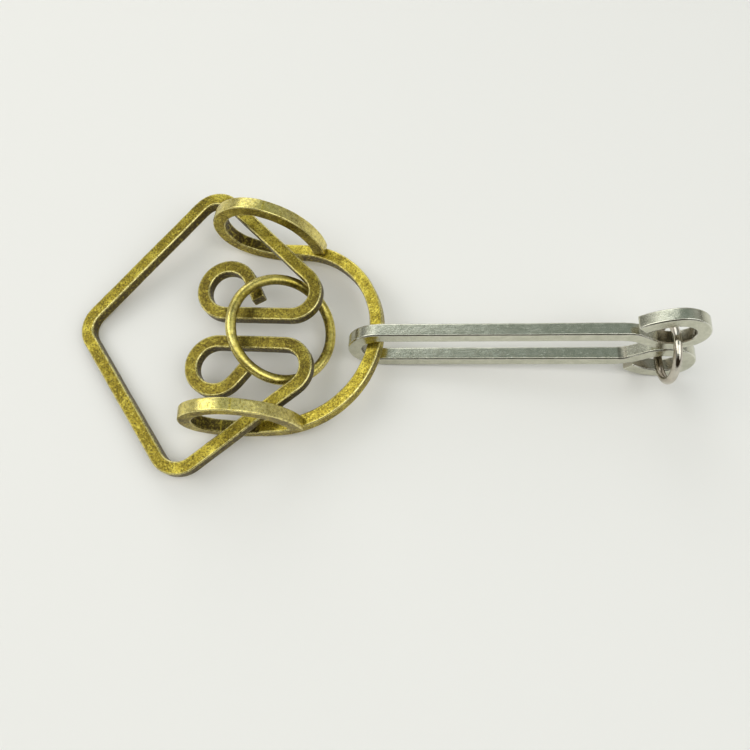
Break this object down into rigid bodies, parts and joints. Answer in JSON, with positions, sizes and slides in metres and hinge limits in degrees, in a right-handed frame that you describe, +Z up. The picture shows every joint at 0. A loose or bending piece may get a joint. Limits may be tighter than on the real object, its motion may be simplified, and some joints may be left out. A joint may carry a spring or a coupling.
{
  "type": "metal ring disentanglement puzzle",
  "caption": "Bent-metal disentanglement puzzle: a diamond frame with curled arms, a bow with threaded eyes, a caught ring and a long shackle closed by a small ring.",
  "frame": {"origin": "on the table, under the middle of the puzzle's length and width", "axes": "+Z up from the table, +X along the puzzle from the diamond's closed corner to the small ring, +Y across it towards the upper bow eye"},
  "size_m": [0.165, 0.08, 0.032],
  "materials": {
    "bronze_bar": "antique bronze plate, mottled, with bright worn edges",
    "bronze_wire": "antique bronze plate on round wire, semi-bright",
    "nickel_bar": "satin nickel plate with bright rubbed edges",
    "bright_wire": "bright nickel plate on round wire"
  },
  "bodies": {
    "frame": {"frame": "bronze_bar"},
    "bow": {"bow": "bronze_bar"},
    "ring": {"ring": "bronze_wire"},
    "shackle": {"shackle": "nickel_bar"},
    "lock_ring": {"lock_ring": "bright_wire"}
  },
  "joints": [
    {"name": "bow_swing", "type": "hinge", "parent": "frame", "child": "bow", "pos_m": [-0.03062, -0.00157, 0.01014], "axis": [-0.0941, -0.9956, 0], "range_deg": [0, 60]},
    {"name": "shackle_swing", "type": "hinge", "parent": "bow", "child": "shackle", "pos_m": [-0.02663, -0.00047, 0.00316], "axis": [0, 0, 1], "range_deg": [-45, 45]},
    {"name": "lock_ring_swing", "type": "hinge", "parent": "shackle", "child": "lock_ring", "pos_m": [0.07277, -0.00806, 0.016], "axis": [0.9944, -0.0382, 0.0989], "range_deg": [-50, 60]},
    {"name": "ring_tip", "type": "hinge", "parent": "frame", "child": "ring", "pos_m": [-0.02676, -0.0014, 0.01018], "axis": [0.0853, 0.9935, 0.0758], "range_deg": [0, 90]}
  ]
}
